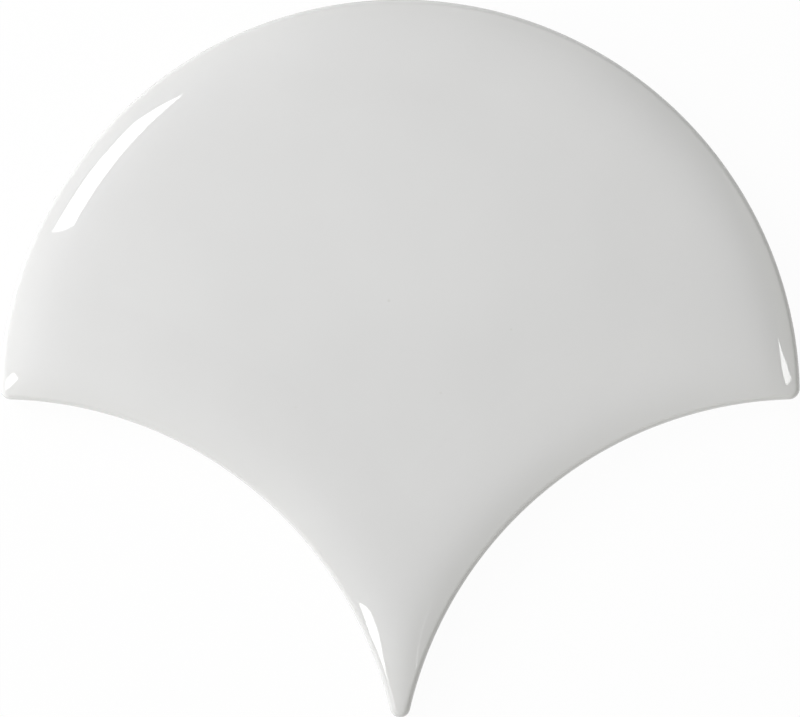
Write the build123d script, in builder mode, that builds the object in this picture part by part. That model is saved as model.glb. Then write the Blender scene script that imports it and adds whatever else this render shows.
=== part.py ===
from build123d import *
from math import atan2, ceil, degrees, exp, hypot, sqrt
import os

# A fan (fish scale) wall tile, pressed and glazed as one piece, lying on its back.
# Its crown is a half circle. Its two flanks are hollowed, so that the crowns of the
# tiles in the next row nest into them, and they meet in a narrow rounded tip.
# The frame, in millimetres: the origin is the centre of the crown's arc, on the back
# plane, +Z comes out of the glazed face, and +Y runs from the tip to the crown.

# Outline
crown_radius = 60.0
nesting_gap = 0.1  # between a flank and the crown that nests in it, with no joint
corner_radius = 1.7
tip_radius = 1.55

# Section
thickness = 8.5  # from the back plane to the flat middle of the glazed face
cushion_drop = 1.5  # from the flat middle down to a plain stretch of the rim
cushion_reach = 2.5  # how far in from the edge the slope lasts, as a decay length
rim_radius = 1.1  # the rolled rim between the glazed face and the side
draft_height = 4.0  # the lower part of the side, tapered to leave the die
draft_inset = 0.35
arris = 0.3  # the broken edge round the back

# Keyed back, a field of shallow square pockets that the adhesive grips
back_margin = 5.0
key_pitch = 9.0
key_rib = 2.2
key_depth = 0.7
key_draft = 35.0  # degrees from upright, of the pockets' walls
smallest_share = 0.3  # of a whole pocket, below which one cut off by the margin is left out

# Spacing of the points that carry the glazed face
face_step = 1.5

# The flanks are circles about the crown centres of the tiles in the next row, and
# the tip's round touches both of them.
flank_offset = crown_radius + nesting_gap / 2
flank_radius = crown_radius + nesting_gap
tip_depth = flank_offset - sqrt((flank_radius + tip_radius) ** 2 - flank_offset**2)
tip_turn = degrees(atan2(flank_offset - tip_depth, flank_offset))

# The crown's arc and a flank's cross at the corner, which lies on both circles.
corner_sum = (2 * flank_offset**2 + crown_radius**2 - flank_radius**2) / (2 * flank_offset)
corner_x = (corner_sum + sqrt(2 * crown_radius**2 - corner_sum**2)) / 2
corner_y = corner_x - corner_sum
crown_turn = degrees(atan2(corner_y, corner_x))
flank_turn = degrees(atan2(corner_y + flank_offset, corner_x - flank_offset))


def edge_distances(x, y):
    """How far a point of the plan lies inside the crown and inside each flank."""
    return (
        crown_radius - hypot(x, y),
        hypot(x + flank_offset, y + flank_offset) - flank_radius,
        hypot(x - flank_offset, y + flank_offset) - flank_radius,
    )


def face_height(x, y):
    """The glazed face: flat in the middle, and cushioned towards every edge."""
    nearness = sum(exp(-distance / cushion_reach) for distance in edge_distances(x, y))
    return thickness - 2 * cushion_drop * nearness / (1 + nearness)


def spaced(low, high):
    """Even places from a step below low to a step above high."""
    count = ceil((high - low) / face_step) + 2
    start = (low + high - count * face_step) / 2
    return [start + i * face_step for i in range(count + 1)]


columns = spaced(-crown_radius, crown_radius)
rows = spaced(-tip_depth - tip_radius, crown_radius)
face_points = [[(x, y, face_height(x, y)) for y in rows] for x in columns]
glazed_face = Face.make_surface_from_array_of_points(face_points, tol=0.001, min_deg=3)

pocket_width = key_pitch - key_rib
cell_count = 2 * ceil(crown_radius / key_pitch)

with BuildPart() as tile:
    with BuildSketch() as outline:
        with BuildLine():
            CenterArc((0, 0), crown_radius, crown_turn, 180 - 2 * crown_turn)
            CenterArc((-flank_offset, -flank_offset), flank_radius, tip_turn, 180 - flank_turn - tip_turn)
            CenterArc((0, -tip_depth), tip_radius, 180 + tip_turn, 180 - 2 * tip_turn)
            CenterArc((flank_offset, -flank_offset), flank_radius, flank_turn, 180 - flank_turn - tip_turn)
        make_face()
        fillet(outline.vertices().group_by(Axis.Y)[-1], corner_radius)
    extrude(amount=thickness + cushion_drop)

    # all that stands above the glazed face is cut off, and its sharp rim is rolled over
    extrude(glazed_face, amount=4 * cushion_drop, dir=(0, 0, 1), mode=Mode.SUBTRACT)
    fillet(tile.faces().sort_by(Axis.Z)[-1].outer_wire().edges(), rim_radius)

    # the side draws in towards the back, which has a broken edge
    back = tile.faces().sort_by(Axis.Z)[0]
    chamfer(back.outer_wire().edges(), draft_inset, draft_height, reference=back)
    back = tile.faces().sort_by(Axis.Z)[0]
    chamfer(back.outer_wire().edges(), arris)

    # the keying pockets, cut off along the margin where a useful part of one is left
    keyed_field = offset(outline.sketch, -back_margin, mode=Mode.PRIVATE)
    with BuildSketch() as pockets:
        with GridLocations(key_pitch, key_pitch, cell_count, cell_count):
            Rectangle(pocket_width, pocket_width)
        add(keyed_field, mode=Mode.INTERSECT)
    useful = [pocket for pocket in pockets.faces() if pocket.area >= smallest_share * pocket_width**2]
    extrude(useful, amount=key_depth, taper=key_draft, mode=Mode.SUBTRACT)

tile.part.label = "fan_tile"
os.makedirs("parts", exist_ok=True)
export_step(tile.part, "parts/fan_tile.step")
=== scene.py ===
import bpy
import numpy as np
from mathutils import Matrix


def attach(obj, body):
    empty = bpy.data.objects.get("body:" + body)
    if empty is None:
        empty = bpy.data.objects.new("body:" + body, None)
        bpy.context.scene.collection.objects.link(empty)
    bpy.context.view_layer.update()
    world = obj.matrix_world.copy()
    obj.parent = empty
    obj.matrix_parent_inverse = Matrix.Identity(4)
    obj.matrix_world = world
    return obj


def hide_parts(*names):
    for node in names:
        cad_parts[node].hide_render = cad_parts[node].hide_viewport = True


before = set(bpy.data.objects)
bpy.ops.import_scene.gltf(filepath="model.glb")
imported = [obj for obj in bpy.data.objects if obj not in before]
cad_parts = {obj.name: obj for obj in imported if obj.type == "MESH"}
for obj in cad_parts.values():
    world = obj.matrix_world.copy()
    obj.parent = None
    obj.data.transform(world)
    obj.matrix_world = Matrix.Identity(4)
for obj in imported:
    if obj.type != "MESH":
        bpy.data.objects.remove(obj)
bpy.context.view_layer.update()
mm = 0.001  # the sizes below are in millimetres, the meshes in metres


# Small tools

def linearColour(hexCode):
    # an sRGB hex value as the linear and opaque colour that the shaders work in
    srgb = np.array([int(hexCode[i:i + 2], 16) / 255 for i in (1, 3, 5)])
    linear = np.where(srgb <= 0.04045, srgb / 12.92, ((srgb + 0.055) / 1.055) ** 2.4)
    return (*linear.tolist(), 1.0)


def addNode(tree, kind, settings=None, inputs=None):
    # one node, its settings and its sockets, where a value is set and another node's socket is linked
    node = tree.nodes.new(kind)
    for name, value in (settings or {}).items():
        setattr(node, name, value)
    for name, value in (inputs or {}).items():
        if isinstance(value, bpy.types.NodeSocket):
            tree.links.new(value, node.inputs[name])
        else:
            node.inputs[name].default_value = value
    return node


def meshObject(name, points, faces, smooth=True):
    # points is an array of rows of x, y, z in metres, and faces a list of arrays of corner numbers
    mesh = bpy.data.meshes.new(name)
    mesh.from_pydata(points.tolist(), [], [row for part in faces for row in part.tolist()])
    mesh.polygons.foreach_set("use_smooth", [smooth] * len(mesh.polygons))
    mesh.validate()
    mesh.update()
    piece = bpy.data.objects.new(name, mesh)
    bpy.context.scene.collection.objects.link(piece)
    return piece


def gridFaces(rows, around):
    # quads between neighbouring rows of points, each a closed loop: they face outwards where the loops run
    # anticlockwise and are stacked upwards
    low = np.arange(rows - 1)[:, None] * around
    here = np.arange(around)[None, :]
    after = (here + 1) % around
    quads = np.stack([low + here, low + after, low + around + after, low + around + here], axis=-1)
    return quads.reshape(-1, 4)


# The fan tile, in millimetres, with the same sizes and the same formula as the solid

fanTile = {
    "crownRadius": 60.0,
    "nestingGap": 0.1,  # between a flank and the crown that nests in it
    "cornerRadius": 1.7,
    "tipRadius": 1.55,
    "thickness": 8.5,
    "cushionDrop": 1.5,  # fall of the glazed face from its flat middle to a plain rim
    "cushionReach": 2.5,  # decay length of that fall, inwards from the edge
    "rimRadius": 1.1,  # rolled rim
    "draftHeight": 4.0,  # lower part of the side, tapered to leave the die
    "draftInset": 0.35,
    "arris": 0.3,  # broken edge round the back
    "arcStep": 0.7,  # spacing of the points along the long arcs
    "tightStep": 0.12,  # and round the corners and the tip
    "arrisRows": 5,
    "wallRows": (0.2, 0.5, 0.8, 0.95, 1.025, 1.15),  # heights of the side's rows, in draft heights
    "rollRows": 14,
    "faceRows": 64,
    "faceCrowding": 1.7,  # the power that crowds the face's rows towards the rim
    "faceMiddle": 12.0,  # the rows of the face shrink to a point this far up from the crown's centre
    "sharpAngle": 32.0,  # an edge that turns by more degrees than this is shaded as a sharp one
}

flankOffset = fanTile["crownRadius"] + fanTile["nestingGap"] / 2
flankRadius = fanTile["crownRadius"] + fanTile["nestingGap"]


def circleCrossing(middleA, radiusA, middleB, radiusB):
    # the crossing of two circles on the left of the way from A to B. How far along that way it lies is the
    # squares of the distance and of A's radius less that of B's, over twice the distance, and Pythagoras
    # gives how far it lies across
    middleA, middleB = np.array(middleA), np.array(middleB)
    apart = np.linalg.norm(middleB - middleA)
    way = (middleB - middleA) / apart
    along = (apart ** 2 + radiusA ** 2 - radiusB ** 2) / (2 * apart)
    across = np.sqrt(radiusA ** 2 - along ** 2)
    return middleA + along * way + across * np.array([-way[1], way[0]])


def facing(origin, target):
    # the angle of the way from one point to another
    return np.arctan2(target[1] - origin[1], target[0] - origin[0])


def arcPoints(middle, radius, start, end, step, hollow=False, fewest=8):
    # an arc from start to end without its last point, and the unit vectors that point out of the tile
    count = max(fewest, int(np.ceil(abs(end - start) * radius / step)))
    turn = start + (end - start) * np.arange(count) / count
    out = np.stack([np.cos(turn), np.sin(turn)], axis=1)
    return np.array(middle) + radius * out, -out if hollow else out


def bothHalves(points, out):
    # the left half from the right half: x changes sign and the order turns round
    flip = np.array([-1, 1])
    return np.concatenate([points, points[:0:-1] * flip]), np.concatenate([out, out[:0:-1] * flip])


def outlinePath(tile):
    # arcs one after another, anticlockwise from the lowest point of the tip: half the tip, a flank about
    # the neighbour's crown centre, a corner that touches flank and crown, and half the crown, and then the
    # same mirrored
    crown, tip, corner = tile["crownRadius"], tile["tipRadius"], tile["cornerRadius"]
    neighbour = (flankOffset, -flankOffset)
    tipMiddle = (0, np.sqrt((flankRadius + tip) ** 2 - flankOffset ** 2) - flankOffset)
    cornerMiddle = circleCrossing((0, 0), crown - corner, neighbour, flankRadius + corner)
    if cornerMiddle[1] < tipMiddle[1]:
        cornerMiddle = circleCrossing(neighbour, flankRadius + corner, (0, 0), crown - corner)
    bottom, top = -np.pi / 2, np.pi / 2
    arcs = [
        arcPoints(tipMiddle, tip, bottom, facing(tipMiddle, neighbour), tile["tightStep"]),
        arcPoints(neighbour, flankRadius, facing(neighbour, tipMiddle), facing(neighbour, cornerMiddle),
                  tile["arcStep"], hollow=True),
        arcPoints(cornerMiddle, corner, facing(cornerMiddle, neighbour), facing((0, 0), cornerMiddle),
                  tile["tightStep"]),
        arcPoints((0, 0), crown, facing((0, 0), cornerMiddle), top, tile["arcStep"]),
    ]
    points = np.concatenate([arc[0] for arc in arcs] + [[[0, crown]]])
    out = np.concatenate([arc[1] for arc in arcs] + [[[0, 1]]])
    return bothHalves(points, out)


def faceHeight(x, y, tile):
    # height = thickness - 2 drop t / (1 + t), where t adds up exp(-distance / reach) over the three edges:
    # the crown, at crown radius less the distance from its centre, and a flank, at the distance from its
    # own centre less its radius
    distances = (
        tile["crownRadius"] - np.hypot(x, y),
        np.hypot(x + flankOffset, y + flankOffset) - flankRadius,
        np.hypot(x - flankOffset, y + flankOffset) - flankRadius,
    )
    nearness = sum(np.exp(-distance / tile["cushionReach"]) for distance in distances)
    return tile["thickness"] - 2 * tile["cushionDrop"] * nearness / (1 + nearness)


def rolledRim(points, out, tile, rounds=20, tiny=1e-4):
    # the roll is a circle that touches the upright side and the glazed face. Where the face climbs inwards
    # at the angle b, they meet at the inset r (1 - sin b), so b is found by going round that a few times,
    # with the slope of the face from two heights a tiny way apart
    radius = tile["rimRadius"]

    def heightAt(inset):
        spot = points - out * inset[:, None]
        return faceHeight(spot[:, 0], spot[:, 1], tile)

    climb = np.zeros(len(points))
    for _ in range(rounds):
        inset = radius * (1 - np.sin(climb))
        climb = np.arctan((heightAt(inset + tiny) - heightAt(inset - tiny)) / (2 * tiny))
    inset = radius * (1 - np.sin(climb))
    middleHeight = heightAt(inset) - radius * np.cos(climb)
    share = np.linspace(0, 1, tile["rollRows"])[:, None]
    turn = share * (np.pi / 2 - climb)
    return radius * (1 - np.cos(turn)), middleHeight + radius * np.sin(turn)


def sideSection(around, tile):
    # the inset and the height of each row, from the flat of the back, round the broken edge as part of a
    # circle, and up the tapered side to its upright part
    lean, arris = tile["draftInset"] / tile["draftHeight"], tile["arris"]
    turn = np.linspace(0, 1, tile["arrisRows"]) * (np.pi / 2 - np.arctan(lean))
    footInset = tile["draftInset"] - lean * arris + arris * (1 - np.sin(turn))
    footHeight = arris * (1 - np.cos(turn))
    wallHeight = np.array(tile["wallRows"]) * tile["draftHeight"]
    wallInset = lean * np.maximum(tile["draftHeight"] - wallHeight, 0)
    inset, height = np.concatenate([footInset, wallInset]), np.concatenate([footHeight, wallHeight])
    return np.repeat(inset[:, None], around, axis=1), np.repeat(height[:, None], around, axis=1)


def tileBody(tile):
    # a closed body: the section of side and roll is carried along the outline, and then the rows of the
    # glazed face are copies of the roll's last row, shrunk towards a middle point, at the formula's height
    points, out = outlinePath(tile)
    around = len(points)
    side, roll = sideSection(around, tile), rolledRim(points, out, tile)
    inset, height = np.concatenate([side[0], roll[0]]), np.concatenate([side[1], roll[1]])
    walls = np.concatenate([points - out * inset[..., None], height[..., None]], axis=-1)
    middle = np.array([0, tile["faceMiddle"]])
    shrink = (np.arange(1, tile["faceRows"]) / tile["faceRows"]) ** tile["faceCrowding"]
    flat = middle + (walls[-1:, :, :2] - middle) * (1 - shrink[:, None, None])
    face = np.concatenate([flat, faceHeight(flat[..., 0], flat[..., 1], tile)[..., None]], axis=-1)
    pole = [[*middle, faceHeight(*middle, tile)]]
    rows = np.concatenate([walls, face])
    here = np.arange(around)
    last = (len(rows) - 1) * around
    fan = np.stack([last + here, last + (here + 1) % around, np.full(around, len(rows) * around)], axis=1)
    back = here[::-1][None, :]
    every = np.concatenate([rows.reshape(-1, 3), pole]) * mm
    return meshObject("fan_tile_glazed", every, [gridFaces(len(rows), around), fan, back])


tileObject = tileBody(fanTile)
print("tile body made,", len(tileObject.data.polygons), "faces")


# The keyed back: shallow pockets between ribs, cut off along a plain margin

keyedBack = {
    "margin": 5.0,
    "pitch": 9.0,
    "rib": 2.2,
    "depth": 0.7,
    "draft": 35.0,  # degrees from upright
    "smallestShare": 0.3,  # of a whole pocket
    "cornerRadius": 0.8,  # of a pocket, in plan
    "softEdge": 0.12,  # height over which the lip and the foot of a pocket's wall are eased
    "easing": 56.0,  # degrees from upright, there
    "cutterBelow": 0.1,  # how far below the back plane the pockets' cutters start
    "plugBelow": 0.2,  # and the field's own, the plug, which has to pass them
    "plugAbove": 0.03,  # how far its eased wall goes on past the pockets' floors
    "plugTop": 0.4,  # and its upright wall
}


def fieldPath(margin, steps=90):
    # what is left inside a margin has sharp corners: it is the crown's circle and the flanks' circles, all
    # moved in by the margin, between their crossings
    crown, flank = fanTile["crownRadius"] - margin, flankRadius + margin
    neighbour = np.array([flankOffset, -flankOffset])
    corner = circleCrossing(neighbour, flank, (0, 0), crown)
    tip = np.array([0, np.sqrt(flank ** 2 - flankOffset ** 2) - flankOffset])
    turn = np.linspace(facing(neighbour, tip), facing(neighbour, corner), steps)[:, None]
    arc = neighbour + flank * np.concatenate([np.cos(turn), np.sin(turn)], axis=1)
    turn = np.linspace(facing((0, 0), corner), np.pi / 2, steps)[1:, None]
    half = np.concatenate([arc, crown * np.concatenate([np.cos(turn), np.sin(turn)], axis=1)])
    return np.concatenate([half, half[-2:0:-1] * np.array([-1, 1])])


def usefulCells(back, across=30):
    # the middles of the pockets of which a useful part lies in the field, by counting sample points on a
    # square grid, so many across
    count = int(np.ceil(fanTile["crownRadius"] / back["pitch"]))
    places = (np.arange(-count, count) + 0.5) * back["pitch"]
    cells = np.stack(np.meshgrid(places, places), axis=-1).reshape(-1, 1, 2)
    samples = (np.arange(across) + 0.5) / across - 0.5
    spots = np.stack(np.meshgrid(samples, samples), axis=-1).reshape(1, -1, 2)
    spots = spots * (back["pitch"] - back["rib"])
    x, y = np.moveaxis(cells + spots, -1, 0)
    inside = np.hypot(x, y) <= fanTile["crownRadius"] - back["margin"]
    inside &= np.hypot(np.abs(x) - flankOffset, y + flankOffset) >= flankRadius + back["margin"]
    return cells[inside.mean(axis=1) >= back["smallestShare"], 0]


def pocketProfile(back, below, above):
    # a pocket's wall from below the back plane up to its floor, as heights and how far each lies within
    # the mouth: at a height z that is z tan(draft), and both eased stretches lean by the easing instead
    ease, depth = back["softEdge"], back["depth"]
    slope, soft = np.tan(np.radians([back["draft"], back["easing"]]))
    height = np.array([-below, ease, depth - ease, depth + above])
    within = np.array([ease * slope - (ease + below) * soft, ease * slope, (depth - ease) * slope,
                       (depth - ease) * slope + (ease + above) * soft])
    return height, within


def roundedSquares(half, radius, steps=3):
    # squares of the given half widths, anticlockwise, with a quarter circle of one radius at each corner
    turn = np.linspace(0, np.pi / 2, steps + 1)
    turn = (turn[None, :] + np.arange(4)[:, None] * np.pi / 2).ravel()
    corner = np.sign(np.stack([np.cos(turn), np.sin(turn)], axis=1).reshape(4, -1, 2).mean(axis=1))
    corner = np.repeat(corner, steps + 1, axis=0)
    arc = radius * np.stack([np.cos(turn), np.sin(turn)], axis=1)
    return corner[None] * (half[:, None, None] - radius) + arc[None]


def pocketCutters(back):
    # a blunt pyramid for every useful cell: rounded squares one above another, by the profile of the wall
    height, within = pocketProfile(back, below=back["cutterBelow"], above=0.0)
    loops = roundedSquares((back["pitch"] - back["rib"]) / 2 - within, back["cornerRadius"])
    rows, around = loops.shape[:2]
    cells = usefulCells(back)
    flat = cells[:, None, None] + loops[None]
    level = np.broadcast_to(height[None, :, None, None], (*flat.shape[:3], 1))
    points = np.concatenate([flat, level], axis=-1).reshape(-1, 3) * mm
    first = np.arange(len(cells))[:, None, None] * rows * around
    ring = np.arange(around)
    walls = (first + gridFaces(rows, around)).reshape(-1, 4)
    ends = (first + np.stack([ring[::-1], (rows - 1) * around + ring])).reshape(-1, around)
    return meshObject("pocketCutters", points, [walls, ends], smooth=False)


def marginPlug(back):
    # the field itself as a cutter, with walls of the same profile and then upright ones
    height, within = pocketProfile(back, below=back["plugBelow"], above=back["plugAbove"])
    height = np.append(height, back["depth"] + back["plugTop"])
    within = np.append(within, within[-1])
    loops = [fieldPath(back["margin"] + inset) for inset in within]
    around = len(loops[0])
    points = np.concatenate([np.concatenate(loops), np.repeat(height, around)[:, None]], axis=1) * mm
    here = np.arange(around)
    ends = [here[::-1][None], (here + (len(loops) - 1) * around)[None]]
    return meshObject("marginPlug", points, [gridFaces(len(loops), around), *ends], smooth=False)


def cutWith(piece, cutter, operation):
    # an exact boolean, applied at once, after which the cutter goes
    step = piece.modifiers.new("cut", "BOOLEAN")
    step.operation, step.solver, step.object = operation, "EXACT", cutter
    bpy.context.view_layer.update()
    made = bpy.data.meshes.new_from_object(piece.evaluated_get(bpy.context.evaluated_depsgraph_get()))
    piece.modifiers.clear()
    old, piece.data = piece.data, made
    bpy.data.meshes.remove(old)
    bpy.data.objects.remove(cutter)


def flattenLevels(mesh, nearlyDown=-0.9999):
    # the back plane and the pockets' floors, whose normals point straight down, are shaded flat
    normals = np.empty(len(mesh.polygons) * 3)
    mesh.polygons.foreach_get("normal", normals)
    mesh.polygons.foreach_set("use_smooth", normals[2::3] > nearlyDown)
    mesh.update()


cutters = pocketCutters(keyedBack)
cutWith(cutters, marginPlug(keyedBack), "INTERSECT")
cutWith(tileObject, cutters, "DIFFERENCE")
tileObject.data.name = "fan_tile_glazed"
tileObject.data.set_sharp_from_angle(angle=np.radians(fanTile["sharpAngle"]))
flattenLevels(tileObject.data)
print("back keyed,", len(tileObject.data.polygons), "faces")

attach(tileObject, "root")
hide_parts("fan_tile")


# Glazed ceramic: an opaque white glaze, melted to glass over pressed and fired clay. The eye sees a plain
# light grey-white with hard mirror images in it. The glaze covers the face and the rim and stops in an
# uneven line on the side. Below that and on the back the clay is bare: cream, dull and gritty.

glazedClay = {
    "glazeWhite": "#E4E4E4",
    "glazeRim": "#E3E3E2",  # thinner over the rim, where the clay tints it
    "rimHeights": (6.6, 8.3),  # of the tint's full strength and of its end, in mm above the back
    "glazeRoughness": 0.02,
    "glazeIor": 1.52,
    "ripple": 0.02,  # slight ripple that the melt keeps, in mm
    "rippleWave": 9.0,
    "cloudWave": 22.0,  # faint cloudiness
    "cloudShade": (0.985, 1.015),
    "speckPitch": 10.0,  # specks are scattered this far apart in depth too, so the face meets only a few
    "speckRadius": 0.3,
    "speckGrey": "#DEDEDC",
    "glazeLine": 2.9,  # mean height of the glaze's lower edge, in mm
    "glazeWander": 1.5,  # how far it wanders up and down
    "wanderWave": 14.0,
    "edgeHeights": (-0.16, 0.12),  # about that edge, between which the clay gives way to the glaze
    "glazeThickness": 0.12,
    "bead": 0.06,  # how much thicker the glaze is along its edge
    "beadHeights": (0.3, 1.7),  # above the edge, of the bead's full thickness and of its end
    "clay": "#E7DFCF",
    "clayDark": "#D8CDB9",
    "clayRoughness": 0.88,
    "claySpot": 2.2,  # size of the clay's pale and dark spots, in mm
    "spotLevels": (0.35, 0.7),  # of the noise, between which the pale turns dark
    "grain": 0.5,  # size of the pressed powder's grains
    "grainDepth": 0.09,
    "grainPaintedShade": (0.86, 1.06),
    "grogPitch": 1.3,  # mean distance between the ground shards in the clay
    "grogRadius": 0.17,
    "grogShare": 0.7,  # how much of their own colour they show
    "grog": "#C3AE8E",
    "wash": "#F1EEE6",  # chalky white kiln wash, rubbed on the ribs of the back in patches
    "washHeight": 0.12,
    "washWave": 5.0,
    "washLevels": (0.38, 0.6),  # of the noise, between which the wash begins
    "noiseLevels": (0.3, 0.7),  # between which nearly all of a noise lies
}


def glazedCeramic(settings):
    # the patterns lie on Object coordinates in metres, so a wave of w mm has the scale 1000 / w
    material = bpy.data.materials.new("glazedCeramic")
    material.use_nodes = True
    tree = material.node_tree
    tree.nodes.clear()
    colours, smooth = {"data_type": "RGBA"}, {"interpolation_type": "SMOOTHSTEP"}
    falling = {"To Min": 1.0, "To Max": 0.0}
    noiseLow, noiseHigh = settings["noiseLevels"]
    spot = addNode(tree, "ShaderNodeTexCoord").outputs["Object"]
    height = addNode(tree, "ShaderNodeSeparateXYZ", inputs={"Vector": spot}).outputs["Z"]

    # the glaze's edge is a level line that a noise moves up and down
    wander = addNode(tree, "ShaderNodeTexNoise", inputs={
        "Vector": spot, "Scale": 1000 / settings["wanderWave"], "Detail": 6.0, "Roughness": 0.58})
    line = addNode(tree, "ShaderNodeMath", {"operation": "MULTIPLY_ADD"}, {
        0: wander.outputs[0], 1: settings["glazeWander"] * 2 * mm,
        2: (settings["glazeLine"] - settings["glazeWander"]) * mm})
    above = addNode(tree, "ShaderNodeMath", {"operation": "SUBTRACT"}, {0: height, 1: line.outputs[0]})
    edgeLow, edgeHigh = settings["edgeHeights"]
    glazed = addNode(tree, "ShaderNodeMapRange", smooth, {
        "Value": above.outputs[0], "From Min": edgeLow * mm, "From Max": edgeHigh * mm})
    beadLow, beadHigh = settings["beadHeights"]
    bead = addNode(tree, "ShaderNodeMapRange", smooth, {
        "Value": above.outputs[0], "From Min": beadLow * mm, "From Max": beadHigh * mm, **falling})

    # the glaze's colour: white, tinted over the rim, with faint cloudiness and a few small specks
    rimLow, rimHigh = settings["rimHeights"]
    rim = addNode(tree, "ShaderNodeMapRange", smooth, {
        "Value": height, "From Min": rimLow * mm, "From Max": rimHigh * mm, **falling})
    white = addNode(tree, "ShaderNodeMix", colours, {
        0: rim.outputs[0], 6: linearColour(settings["glazeWhite"]), 7: linearColour(settings["glazeRim"])})
    cloud = addNode(tree, "ShaderNodeTexNoise", inputs={
        "Vector": spot, "Scale": 1000 / settings["cloudWave"], "Detail": 2.0})
    cloudDark, cloudPale = settings["cloudShade"]
    cloudy = addNode(tree, "ShaderNodeMapRange", inputs={
        "Value": cloud.outputs[0], "From Min": noiseLow, "From Max": noiseHigh,
        "To Min": cloudDark, "To Max": cloudPale})
    clouded = addNode(tree, "ShaderNodeVectorMath", {"operation": "SCALE"}, {
        0: white.outputs[2], "Scale": cloudy.outputs[0]})
    specks = addNode(tree, "ShaderNodeTexVoronoi", inputs={
        "Vector": spot, "Scale": 1000 / settings["speckPitch"]})
    speckRadius = settings["speckRadius"] / settings["speckPitch"]
    speck = addNode(tree, "ShaderNodeMapRange", smooth, {
        "Value": specks.outputs["Distance"], "From Min": speckRadius / 2, "From Max": speckRadius,
        **falling})
    glazeColour = addNode(tree, "ShaderNodeMix", colours, {
        0: speck.outputs[0], 6: clouded.outputs[0], 7: linearColour(settings["speckGrey"])})

    # the clay's colour: cream and spotted, with shards, grains with painted shade in their hollows, and
    # wash on the ribs of the back
    spots = addNode(tree, "ShaderNodeTexNoise", inputs={
        "Vector": spot, "Scale": 1000 / settings["claySpot"], "Detail": 4.0, "Roughness": 0.65})
    spotLow, spotHigh = settings["spotLevels"]
    spotted = addNode(tree, "ShaderNodeMapRange", inputs={
        "Value": spots.outputs[0], "From Min": spotLow, "From Max": spotHigh})
    bare = addNode(tree, "ShaderNodeMix", colours, {
        0: spotted.outputs[0], 6: linearColour(settings["clay"]), 7: linearColour(settings["clayDark"])})
    shards = addNode(tree, "ShaderNodeTexVoronoi", inputs={
        "Vector": spot, "Scale": 1000 / settings["grogPitch"]})
    grogRadius = settings["grogRadius"] / settings["grogPitch"]
    shard = addNode(tree, "ShaderNodeMapRange", inputs={
        "Value": shards.outputs["Distance"], "From Min": grogRadius / 2, "From Max": grogRadius,
        "To Min": settings["grogShare"], "To Max": 0.0})
    grogged = addNode(tree, "ShaderNodeMix", colours, {
        0: shard.outputs[0], 6: bare.outputs[2], 7: linearColour(settings["grog"])})
    # the grains' noise also makes the relief below, so the colour is darker where that relief is low:
    # painted shade in the grains' hollows
    grains = addNode(tree, "ShaderNodeTexNoise", inputs={
        "Vector": spot, "Scale": 1000 / settings["grain"], "Detail": 3.0, "Roughness": 0.6})
    grainDark, grainPale = settings["grainPaintedShade"]
    grainHollowShade = addNode(tree, "ShaderNodeMapRange", inputs={
        "Value": grains.outputs[0], "From Min": noiseLow, "From Max": noiseHigh,
        "To Min": grainDark, "To Max": grainPale})
    grainy = addNode(tree, "ShaderNodeVectorMath", {"operation": "SCALE"}, {
        0: grogged.outputs[2], "Scale": grainHollowShade.outputs[0]})
    low = addNode(tree, "ShaderNodeMapRange", smooth, {
        "Value": height, "From Min": 0.0, "From Max": settings["washHeight"] * mm, **falling})
    rubbed = addNode(tree, "ShaderNodeTexNoise", inputs={
        "Vector": spot, "Scale": 1000 / settings["washWave"], "Detail": 5.0, "Roughness": 0.7})
    washLow, washHigh = settings["washLevels"]
    patchy = addNode(tree, "ShaderNodeMapRange", inputs={
        "Value": rubbed.outputs[0], "From Min": washLow, "From Max": washHigh})
    washed = addNode(tree, "ShaderNodeMath", {"operation": "MULTIPLY"}, {
        0: low.outputs[0], 1: patchy.outputs[0]})
    clayColour = addNode(tree, "ShaderNodeMix", colours, {
        0: washed.outputs[0], 6: grainy.outputs[0], 7: linearColour(settings["wash"])})
    colour = addNode(tree, "ShaderNodeMix", colours, {
        0: glazed.outputs[0], 6: clayColour.outputs[2], 7: glazeColour.outputs[2]})

    # the surface in metres: grains in the clay, and the glaze lying on it with a ripple and a bead
    grainHeight = addNode(tree, "ShaderNodeMath", {"operation": "MULTIPLY"}, {
        0: grains.outputs[0], 1: settings["grainDepth"] * mm})
    ripples = addNode(tree, "ShaderNodeTexNoise", inputs={
        "Vector": spot, "Scale": 1000 / settings["rippleWave"], "Detail": 1.0})
    rippleHeight = addNode(tree, "ShaderNodeMath", {"operation": "MULTIPLY"}, {
        0: ripples.outputs[0], 1: settings["ripple"] * mm})
    beadHeight = addNode(tree, "ShaderNodeMath", {"operation": "MULTIPLY_ADD"}, {
        0: bead.outputs[0], 1: settings["bead"] * mm, 2: settings["glazeThickness"] * mm})
    glazeHeight = addNode(tree, "ShaderNodeMath", {"operation": "ADD"}, {
        0: rippleHeight.outputs[0], 1: beadHeight.outputs[0]})
    relief = addNode(tree, "ShaderNodeMix", {"data_type": "FLOAT"}, {
        0: glazed.outputs[0], 2: grainHeight.outputs[0], 3: glazeHeight.outputs[0]})
    bump = addNode(tree, "ShaderNodeBump", inputs={
        "Height": relief.outputs[0], "Distance": 1.0, "Strength": 1.0})

    # glossy where it is glazed, and dull where it isn't
    rough = addNode(tree, "ShaderNodeMapRange", inputs={
        "Value": glazed.outputs[0],
        "To Min": settings["clayRoughness"], "To Max": settings["glazeRoughness"]})
    shader = addNode(tree, "ShaderNodeBsdfPrincipled", inputs={
        "Base Color": colour.outputs[2], "Roughness": rough.outputs[0], "IOR": settings["glazeIor"],
        "Normal": bump.outputs[0]})
    addNode(tree, "ShaderNodeOutputMaterial", inputs={"Surface": shader.outputs[0]})
    return material


tileObject.data.materials.clear()
tileObject.data.materials.append(glazedCeramic(glazedClay))
print("tile glazed")


# Stage, in metres: a white floor, a long lens straight above, and soft lights

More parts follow.
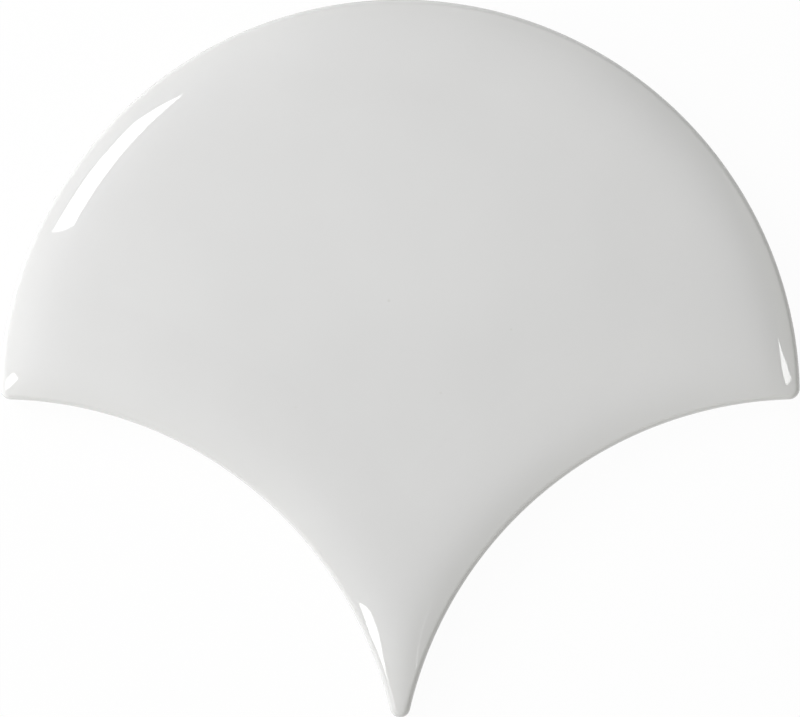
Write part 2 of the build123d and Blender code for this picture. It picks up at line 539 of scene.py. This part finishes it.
stage = {
    "cameraHeight": 1.0,
    "sensorWidth": 36.0,  # of the camera, in mm
    "clip": (0.01, 50.0),
    "frameWidth": 0.12,  # what the picture's width takes in at the height of the rim
    "rimHeight": 0.0058,
    "frameMiddleY": 0.00618,
    "floorHalf": 3.0,
    "floorDrop": 0.00002,  # the floor lies a little lower than the back, so that their planes don't meet
    "floorWhite": "#F2F2F2",
    "floorGlow": 0.96,  # how far the camera and the glaze see it as plain white
    "worldStrength": 0.2,
}

# Softboxes far off, whose mirror images are the sharp white shapes on the glaze. Each one has a place, the
# angles of its face (how far it leans over, which way, and its own spin), its two sides and its radiance.
softboxes = {
    "upperLeft": {"place": (-3.98, 3.41, 11.12), "lean": -61, "way": 56, "spin": 112.5,
                  "sides": (2.1, 5.3), "radiance": 10.0},
    "lowerLeft": {"place": (-4.35, -2.16, 8.43), "lean": 35.5, "way": 52.5, "spin": 74,
                  "sides": (1.1, 2.5), "radiance": 10.0},
    "lowerRight": {"place": (4.54, -1.04, 8.66), "lean": -60.5, "way": -22, "spin": 5,
                   "sides": (10.5, 1.5), "radiance": 9.0},
}

# Fill lights that face the tile from a distance, so far off its axis and that way round it. The near ones
# on the left make the grey fall off across the flat face. The glaze mirrors none of them.
fills = {
    "nearLeft": {"distance": 0.42, "offAxis": 58, "way": 178, "sides": (0.25, 0.25), "radiance": 3.25},
    "nearUpperLeft": {"distance": 0.42, "offAxis": 64, "way": 140, "sides": (0.25, 0.25), "radiance": 0.9},
    "nearUpper": {"distance": 0.45, "offAxis": 48, "way": 140, "sides": (0.25, 0.25), "radiance": 3.2},
    "farLowerLeft": {"distance": 1.5, "offAxis": 75, "way": 220, "sides": (0.6, 0.6), "radiance": 4.5},
}

# Two dim and faintly yellow panels on the right and in front, placed in the same way, which it does mirror
panelWhite = "#FFFFF2"
panels = {
    "rightPanel": {"distance": 1.2, "offAxis": 46, "way": 359, "sides": (0.62, 1.2), "radiance": 0.47},
    "frontPanel": {"distance": 1.2, "offAxis": 65, "way": 300, "sides": (0.6, 1.0), "radiance": 0.78},
}


def whiteFloor(settings):
    # a matt square that lights the tile's sides, and looks nearly plain white to camera and glaze
    half = settings["floorHalf"]
    corners = np.array([[-half, -half, 0], [half, -half, 0], [half, half, 0], [-half, half, 0]])
    corners[:, 2] = -settings["floorDrop"]
    floor = meshObject("floor", corners, [np.array([[0, 1, 2, 3]])])
    material = bpy.data.materials.new("whiteFloor")
    material.use_nodes = True
    tree = material.node_tree
    tree.nodes.clear()
    path = addNode(tree, "ShaderNodeLightPath")
    seen = addNode(tree, "ShaderNodeMath", {"operation": "MAXIMUM"}, {
        0: path.outputs["Is Camera Ray"], 1: path.outputs["Is Glossy Ray"]})
    share = addNode(tree, "ShaderNodeMath", {"operation": "MULTIPLY"}, {
        0: seen.outputs[0], 1: settings["floorGlow"]})
    matt = addNode(tree, "ShaderNodeBsdfDiffuse", inputs={"Color": linearColour(settings["floorWhite"])})
    glow = addNode(tree, "ShaderNodeEmission", inputs={"Color": (1, 1, 1, 1), "Strength": 1.0})
    mix = addNode(tree, "ShaderNodeMixShader", inputs={
        0: share.outputs[0], 1: matt.outputs[0], 2: glow.outputs[0]})
    addNode(tree, "ShaderNodeOutputMaterial", inputs={"Surface": mix.outputs[0]})
    floor.data.materials.append(material)


def whiteWorld(settings):
    # dim and even as a light, and plain white behind the floor
    world = bpy.data.worlds.new("studio")
    bpy.context.scene.world = world
    world.use_nodes = True
    tree = world.node_tree
    tree.nodes.clear()
    path = addNode(tree, "ShaderNodeLightPath")
    dim = addNode(tree, "ShaderNodeBackground", inputs={
        "Color": (1, 1, 1, 1), "Strength": settings["worldStrength"]})
    white = addNode(tree, "ShaderNodeBackground", inputs={"Color": (1, 1, 1, 1), "Strength": 1.0})
    mix = addNode(tree, "ShaderNodeMixShader", inputs={
        0: path.outputs["Is Camera Ray"], 1: dim.outputs[0], 2: white.outputs[0]})
    addNode(tree, "ShaderNodeOutputWorld", inputs={"Surface": mix.outputs[0]})


def areaLight(name, place, turns, sides, radiance, white="#FFFFFF", mirrored=True):
    # turns are the lean, the way that it leans and the spin, in degrees, and the spin comes first. A flat
    # lamp gives off pi times its area times its radiance.
    lean, way, spin = np.radians(turns)
    data = bpy.data.lights.new(name, "AREA")
    data.shape = "RECTANGLE"
    data.size, data.size_y = sides
    data.energy = radiance * np.pi * sides[0] * sides[1]
    data.color = linearColour(white)[:3]
    light = bpy.data.objects.new(name, data)
    bpy.context.scene.collection.objects.link(light)
    light.location = place
    turn = Matrix.Rotation(way, 3, "Z") @ Matrix.Rotation(lean, 3, "Y") @ Matrix.Rotation(spin, 3, "Z")
    light.rotation_euler = turn.to_euler()
    light.visible_glossy = mirrored


def facingLight(name, fill, white="#FFFFFF", mirrored=True):
    # a lamp at its distance and angles from the tile's middle on the floor, which it faces
    off, way = np.radians(fill["offAxis"]), np.radians(fill["way"])
    place = fill["distance"] * np.array([np.sin(off) * np.cos(way), np.sin(off) * np.sin(way), np.cos(off)])
    turns = (fill["offAxis"], fill["way"], 0)
    areaLight(name, place, turns, fill["sides"], fill["radiance"], white, mirrored)


whiteFloor(stage)
whiteWorld(stage)
for name, box in softboxes.items():
    areaLight(name, box["place"], (box["lean"], box["way"], box["spin"]), box["sides"], box["radiance"])
for name, fill in fills.items():
    facingLight(name, fill, mirrored=False)
for name, panel in panels.items():
    facingLight(name, panel, panelWhite)
print("floor, world and", len(softboxes) + len(fills) + len(panels), "lamps placed")

cameraData = bpy.data.cameras.new("camera")
camera = bpy.data.objects.new("camera", cameraData)
bpy.context.scene.collection.objects.link(camera)
bpy.context.scene.camera = camera
cameraData.sensor_width = stage["sensorWidth"]
cameraData.lens = stage["sensorWidth"] * (stage["cameraHeight"] - stage["rimHeight"]) / stage["frameWidth"]
cameraData.clip_start, cameraData.clip_end = stage["clip"]
camera.location = (0, stage["frameMiddleY"], stage["cameraHeight"])
bpy.context.scene.view_settings.view_transform = "Standard"
